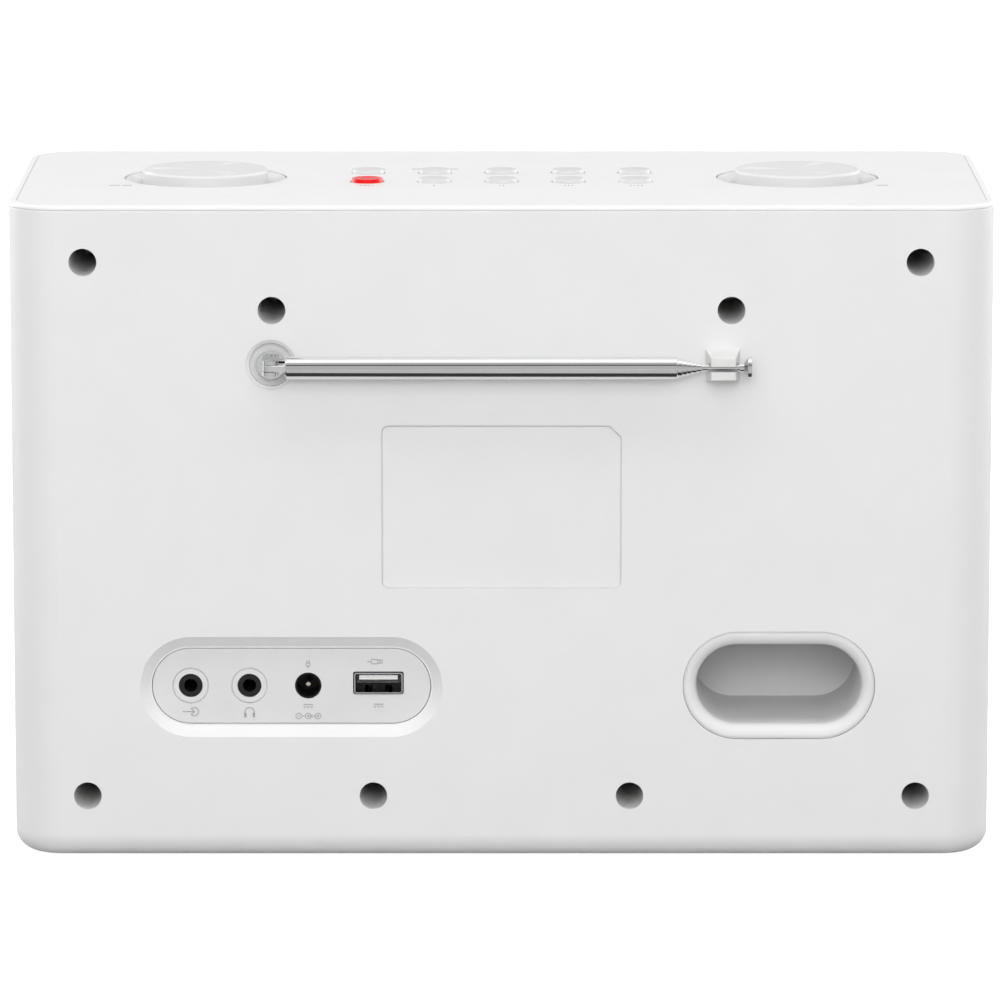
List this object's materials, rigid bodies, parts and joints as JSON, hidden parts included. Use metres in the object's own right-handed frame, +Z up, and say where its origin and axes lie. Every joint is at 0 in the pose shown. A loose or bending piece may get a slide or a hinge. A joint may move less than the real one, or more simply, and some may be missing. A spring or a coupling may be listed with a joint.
{
  "type": "tabletop radio",
  "caption": "White tabletop radio with two turn-and-push knobs, round push buttons, a swivelling telescopic aerial, rear sockets and a bass port.",
  "frame": {"origin": "on the table, under the middle of the whole object's width and depth", "axes": "+X to the right seen from the front, +Y towards the rear face with the sockets and aerial, +Z up"},
  "size_m": [0.265, 0.1262, 0.1814],
  "materials": {
    "white_shell": "finely textured matt white ABS",
    "white_cover": "matt white ABS",
    "white_top": "smooth satin white",
    "pale_grey_plastic": "fine matt pale grey",
    "port_plastic": "matt white, textured inside",
    "black_plastic": "matt black",
    "grille_steel": "perforated sheet, powder coated pale grey",
    "window_acrylic": "clear with a dark tint, polished",
    "display_black": "glossy black",
    "foot_rubber": "soft matt",
    "socket_black": "satin black",
    "usb_steel": "bright nickel plated",
    "usb_insulator": "smooth white",
    "contact_metal": "gold flash",
    "circuit_board": "green solder mask",
    "switch_plastic": "black",
    "encoder_body": "plain",
    "speaker_steel": "black lacquer",
    "magnet_iron": "plated dark",
    "cone_paper": "pressed fibre",
    "screw_steel": "zinc plated",
    "lead_insulation": "soft insulation",
    "aerial_chrome": "mirror bright",
    "clip_plastic": "slightly translucent natural white",
    "knob_white": "satin white",
    "button_white": "satin white",
    "red_button": "glossy red"
  },
  "bodies": {
    "cabinet": {"antenna_clip": "clip_plastic", "aux_jack": "socket_black", "bass_port": "port_plastic", "button_switches": "switch_plastic", "control_board": "circuit_board", "dc_jack": "socket_black", "display_module": "display_black", "display_window": "window_acrylic", "front_panel": "white_shell", "grille_left": "grille_steel", "grille_right": "grille_steel", "headphone_jack": "socket_black", "housing_screws": "screw_steel", "inner_leads": "lead_insulation", "inner_screws": "screw_steel", "knob_wells": "pale_grey_plastic", "main_board": "circuit_board", "rear_housing": "white_shell", "rubber_feet": "foot_rubber", "select_encoder": "encoder_body", "socket_contacts": "contact_metal", "socket_panel": "pale_grey_plastic", "speaker_baffle": "black_plastic", "speaker_frames": "speaker_steel", "speaker_magnets": "magnet_iron", "top_cover": "white_cover", "top_panel": "white_top", "tuner_module": "usb_steel", "usb_shell": "usb_steel", "usb_tongue": "usb_insulator", "volume_encoder": "encoder_body"},
    "power_button": {"power_button": "red_button"},
    "rear_button_2": {"rear_button_2": "button_white"},
    "rear_button_3": {"rear_button_3": "button_white"},
    "rear_button_4": {"rear_button_4": "button_white"},
    "rear_button_5": {"rear_button_5": "button_white"},
    "front_button_1": {"front_button_1": "button_white"},
    "front_button_2": {"front_button_2": "button_white"},
    "front_button_3": {"front_button_3": "button_white"},
    "front_button_4": {"front_button_4": "button_white"},
    "front_button_5": {"front_button_5": "button_white"},
    "select_push_body": {"select_plunger": "switch_plastic"},
    "select_dial": {"select_shaft": "screw_steel", "select_knob": "knob_white"},
    "volume_push_body": {"volume_plunger": "switch_plastic"},
    "volume_dial": {"volume_shaft": "screw_steel", "volume_knob": "knob_white"},
    "speaker_cone_left": {"speaker_cone_left": "cone_paper"},
    "speaker_cone_right": {"speaker_cone_right": "cone_paper"},
    "antenna_mount": {"antenna_swivel": "aerial_chrome", "antenna_pin": "aerial_chrome", "antenna_screw": "screw_steel"},
    "antenna_stage_1": {"antenna_tube_1": "aerial_chrome"},
    "antenna_stage_2": {"antenna_tube_2": "aerial_chrome"},
    "antenna_stage_3": {"antenna_tube_3": "aerial_chrome"},
    "antenna_stage_4": {"antenna_tube_4": "aerial_chrome"},
    "antenna_stage_5": {"antenna_tube_5": "aerial_chrome"},
    "antenna_stage_6": {"antenna_tube_6": "aerial_chrome"},
    "antenna_stage_7": {"antenna_rod": "aerial_chrome", "antenna_tip": "aerial_chrome"}
  },
  "joints": [
    {"name": "power_button_press", "type": "slide", "parent": "cabinet", "child": "power_button", "axis": [0, 0, -1], "range_m": [0, 0.0005], "stiffness_N_per_m": 400, "springref_m": -0.0005},
    {"name": "rear_button_2_press", "type": "slide", "parent": "cabinet", "child": "rear_button_2", "axis": [0, 0, -1], "range_m": [0, 0.0005], "stiffness_N_per_m": 400, "springref_m": -0.0005},
    {"name": "rear_button_3_press", "type": "slide", "parent": "cabinet", "child": "rear_button_3", "axis": [0, 0, -1], "range_m": [0, 0.0005], "stiffness_N_per_m": 400, "springref_m": -0.0005},
    {"name": "rear_button_4_press", "type": "slide", "parent": "cabinet", "child": "rear_button_4", "axis": [0, 0, -1], "range_m": [0, 0.0005], "stiffness_N_per_m": 400, "springref_m": -0.0005},
    {"name": "rear_button_5_press", "type": "slide", "parent": "cabinet", "child": "rear_button_5", "axis": [0, 0, -1], "range_m": [0, 0.0005], "stiffness_N_per_m": 400, "springref_m": -0.0005},
    {"name": "front_button_1_press", "type": "slide", "parent": "cabinet", "child": "front_button_1", "axis": [0, 0, -1], "range_m": [0, 0.0005], "stiffness_N_per_m": 400, "springref_m": -0.0005},
    {"name": "front_button_2_press", "type": "slide", "parent": "cabinet", "child": "front_button_2", "axis": [0, 0, -1], "range_m": [0, 0.0005], "stiffness_N_per_m": 400, "springref_m": -0.0005},
    {"name": "front_button_3_press", "type": "slide", "parent": "cabinet", "child": "front_button_3", "axis": [0, 0, -1], "range_m": [0, 0.0005], "stiffness_N_per_m": 400, "springref_m": -0.0005},
    {"name": "front_button_4_press", "type": "slide", "parent": "cabinet", "child": "front_button_4", "axis": [0, 0, -1], "range_m": [0, 0.0005], "stiffness_N_per_m": 400, "springref_m": -0.0005},
    {"name": "front_button_5_press", "type": "slide", "parent": "cabinet", "child": "front_button_5", "axis": [0, 0, -1], "range_m": [0, 0.0005], "stiffness_N_per_m": 400, "springref_m": -0.0005},
    {"name": "select_push", "type": "slide", "parent": "cabinet", "child": "select_push_body", "axis": [0, 0, -1], "range_m": [0, 0.0006], "stiffness_N_per_m": 900, "springref_m": -0.0006},
    {"name": "select_turn", "type": "hinge", "parent": "select_push_body", "child": "select_dial", "pos_m": [0.0814, -0.0049, 0.1814], "axis": [0, 0, 1], "continuous": true},
    {"name": "volume_push", "type": "slide", "parent": "cabinet", "child": "volume_push_body", "axis": [0, 0, -1], "range_m": [0, 0.0006], "stiffness_N_per_m": 900, "springref_m": -0.0006},
    {"name": "volume_turn", "type": "hinge", "parent": "volume_push_body", "child": "volume_dial", "pos_m": [-0.0814, -0.0049, 0.1814], "axis": [0, 0, 1], "continuous": true},
    {"name": "speaker_left_travel", "type": "slide", "parent": "cabinet", "child": "speaker_cone_left", "axis": [0, 1, 0], "range_m": [-0.0015, 0.0015], "stiffness_N_per_m": 1200},
    {"name": "speaker_right_travel", "type": "slide", "parent": "cabinet", "child": "speaker_cone_right", "axis": [0, 1, 0], "range_m": [-0.0015, 0.0015], "stiffness_N_per_m": 1200},
    {"name": "antenna_turn", "type": "hinge", "parent": "cabinet", "child": "antenna_mount", "pos_m": [0.06185, 0.0599, 0.136], "axis": [0, 1, 0], "continuous": true, "deforming": ["antenna_clip"]},
    {"name": "antenna_tilt", "type": "hinge", "parent": "antenna_mount", "child": "antenna_stage_1", "pos_m": [0.06185, 0.0599, 0.136], "axis": [0, 0, -1], "range_deg": [0, 180]},
    {"name": "antenna_extend_1", "type": "slide", "parent": "antenna_stage_1", "child": "antenna_stage_2", "axis": [-1, 0, 0], "range_m": [0, 0.088]},
    {"name": "antenna_extend_2", "type": "slide", "parent": "antenna_stage_2", "child": "antenna_stage_3", "axis": [-1, 0, 0], "range_m": [0, 0.088]},
    {"name": "antenna_extend_3", "type": "slide", "parent": "antenna_stage_3", "child": "antenna_stage_4", "axis": [-1, 0, 0], "range_m": [0, 0.088]},
    {"name": "antenna_extend_4", "type": "slide", "parent": "antenna_stage_4", "child": "antenna_stage_5", "axis": [-1, 0, 0], "range_m": [0, 0.088]},
    {"name": "antenna_extend_5", "type": "slide", "parent": "antenna_stage_5", "child": "antenna_stage_6", "axis": [-1, 0, 0], "range_m": [0, 0.088]},
    {"name": "antenna_extend_6", "type": "slide", "parent": "antenna_stage_6", "child": "antenna_stage_7", "axis": [-1, 0, 0], "range_m": [0, 0.088]}
  ]
}
